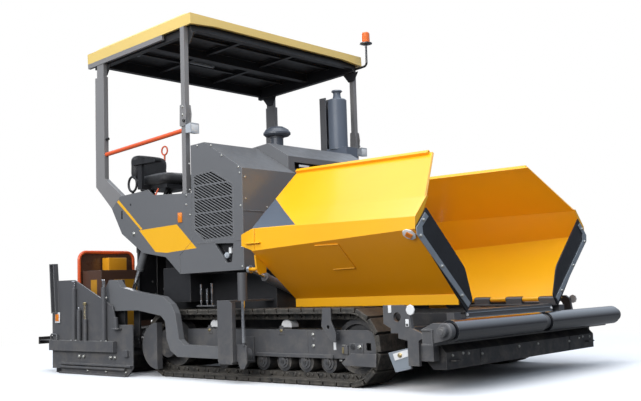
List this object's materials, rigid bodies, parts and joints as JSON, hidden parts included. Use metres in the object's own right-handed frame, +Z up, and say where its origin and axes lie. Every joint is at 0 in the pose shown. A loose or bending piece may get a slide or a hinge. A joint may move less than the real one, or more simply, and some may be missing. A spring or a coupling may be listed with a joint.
{
  "type": "tracked asphalt paver",
  "caption": "Tracked asphalt paver with a folding feed hopper, engine hood, shaded operator's platform and a towed extending screed.",
  "frame": {"origin": "on the ground under the middle of the machine's outer box", "axes": "+X forwards towards the hopper, +Y to the machine's left, +Z up"},
  "size_m": [4.844, 2.796, 3.3959],
  "materials": {
    "charcoal": "satin dark grey paint",
    "black_steel": "matt black paint",
    "yellow_paint": "glossy yellow paint",
    "track_steel": "dusty cast steel and rubber pads",
    "worn_steel": "worn steel",
    "cast_block": "cast iron",
    "black_plastic": "moulded black plastic",
    "seat_vinyl": "black vinyl",
    "orange_paint": "orange paint",
    "orange_lens": "translucent orange lens",
    "chrome": "hard chrome",
    "rubber": "black rubber sheet",
    "roller_steel": "glossy dark grey paint"
  },
  "bodies": {
    "root": {"main_frame": "black_steel", "wing_pivots": "black_steel", "track_frames": "charcoal", "track_left": "track_steel", "track_right": "track_steel", "track_wheels": "black_steel", "drive_covers": "charcoal", "hopper_floor": "yellow_paint", "conveyors": "worn_steel", "front_beam": "charcoal", "push_beam": "charcoal", "cooler_housing": "charcoal", "cooler_grille": "charcoal", "left_housing": "charcoal", "centre_hood": "charcoal", "engine": "cast_block", "side_panels": "charcoal", "platform": "black_steel", "roof_posts": "charcoal", "roof": "yellow_paint", "roof_frame": "black_steel", "work_lamps": "black_plastic", "seat_frames": "black_plastic", "seat_cushions": "seat_vinyl", "console": "black_plastic", "hand_rails": "orange_paint", "exhaust_stack": "black_steel", "air_intake": "black_plastic", "beacon": "orange_lens", "tow_guides": "charcoal", "tow_plates": "charcoal", "level_barrels": "charcoal", "auger_mount": "black_steel"},
    "screed": {"tow_arms": "charcoal", "screed_body": "black_steel"},
    "lift_barrel": {"lift_barrels": "charcoal"},
    "lift_rod": {"lift_rods": "chrome"},
    "hopper_wing_left": {"hopper_wing_left": "yellow_paint", "hopper_flap_left": "rubber"},
    "wing_barrel_left": {"wing_barrel_left": "charcoal"},
    "wing_rod_left": {"wing_rod_left": "chrome"},
    "push_roller_left": {"push_roller_left": "roller_steel"},
    "auger_left": {"auger_left": "worn_steel"},
    "screed_extension_left": {"screed_extension_left": "black_steel", "end_gate_left": "charcoal", "gate_rods_left": "chrome", "screed_rail_left": "orange_paint", "screed_cabinet_left": "yellow_paint"},
    "hopper_wing_right": {"hopper_wing_right": "yellow_paint", "hopper_flap_right": "rubber"},
    "wing_barrel_right": {"wing_barrel_right": "charcoal"},
    "wing_rod_right": {"wing_rod_right": "chrome"},
    "push_roller_right": {"push_roller_right": "roller_steel"},
    "auger_right": {"auger_right": "worn_steel"},
    "screed_extension_right": {"screed_extension_right": "black_steel", "end_gate_right": "charcoal", "gate_rods_right": "chrome", "screed_rail_right": "orange_paint", "screed_cabinet_right": "yellow_paint"}
  },
  "joints": [
    {"name": "wing_left_fold", "type": "hinge", "parent": "root", "child": "hopper_wing_left", "pos_m": [0.56, 0.703, 0.571], "axis": [-1, 0, 0], "range_deg": [0, 30]},
    {"name": "wing_barrel_left_swing", "type": "hinge", "parent": "root", "child": "wing_barrel_left", "pos_m": [0.438, 0.63, 0.68], "axis": [-1, 0, 0], "range_deg": [0, 27.41]},
    {"name": "wing_rod_left_slide", "type": "slide", "parent": "wing_barrel_left", "child": "wing_rod_left", "axis": [0, 0.9383, 0.3457], "range_m": [0, 0.06092]},
    {"name": "push_roller_left_spin", "type": "hinge", "parent": "root", "child": "push_roller_left", "pos_m": [2.35, 0.65, 0.415], "axis": [0, 1, 0], "continuous": true},
    {"name": "auger_left_spin", "type": "hinge", "parent": "root", "child": "auger_left", "pos_m": [-1.07, 0.6, 0.3], "axis": [0, 1, 0], "continuous": true},
    {"name": "screed_left_extend", "type": "slide", "parent": "screed", "child": "screed_extension_left", "axis": [0, 1, 0], "range_m": [0, 0.95]},
    {"name": "wing_right_fold", "type": "hinge", "parent": "root", "child": "hopper_wing_right", "pos_m": [0.56, -0.703, 0.571], "axis": [1, 0, 0], "range_deg": [0, 30]},
    {"name": "wing_barrel_right_swing", "type": "hinge", "parent": "root", "child": "wing_barrel_right", "pos_m": [0.438, -0.63, 0.68], "axis": [1, 0, 0], "range_deg": [0, 27.41]},
    {"name": "wing_rod_right_slide", "type": "slide", "parent": "wing_barrel_right", "child": "wing_rod_right", "axis": [0, -0.9383, 0.3457], "range_m": [0, 0.06092]},
    {"name": "push_roller_right_spin", "type": "hinge", "parent": "root", "child": "push_roller_right", "pos_m": [2.35, -0.65, 0.415], "axis": [0, 1, 0], "continuous": true},
    {"name": "auger_right_spin", "type": "hinge", "parent": "root", "child": "auger_right", "pos_m": [-1.07, -0.6, 0.3], "axis": [0, 1, 0], "continuous": true},
    {"name": "screed_right_extend", "type": "slide", "parent": "screed", "child": "screed_extension_right", "axis": [0, -1, 0], "range_m": [0, 0.95]},
    {"name": "screed_lift", "type": "hinge", "parent": "root", "child": "screed", "pos_m": [0.462, 0, 0.226], "axis": [0, 1, 0], "range_deg": [0, 8]},
    {"name": "lift_barrel_swing", "type": "hinge", "parent": "root", "child": "lift_barrel", "pos_m": [-0.875, 0, 1.24], "axis": [0, 1, 0], "range_deg": [0, 4.17]},
    {"name": "lift_rod_slide", "type": "slide", "parent": "lift_barrel", "child": "lift_rod", "axis": [0.4472, 0, 0.8944], "range_m": [0, 0.2321]}
  ],
  "couplings": [
    {"joint": "wing_barrel_left_swing", "follows": "wing_left_fold", "ratio": 0.90705},
    {"joint": "wing_rod_left_slide", "follows": "wing_left_fold", "m_per_rad": 0.11539},
    {"joint": "wing_barrel_right_swing", "follows": "wing_right_fold", "ratio": 0.90705},
    {"joint": "wing_rod_right_slide", "follows": "wing_right_fold", "m_per_rad": 0.11539},
    {"joint": "lift_barrel_swing", "follows": "screed_lift", "ratio": 0.49592},
    {"joint": "lift_rod_slide", "follows": "screed_lift", "m_per_rad": 1.6587}
  ]
}
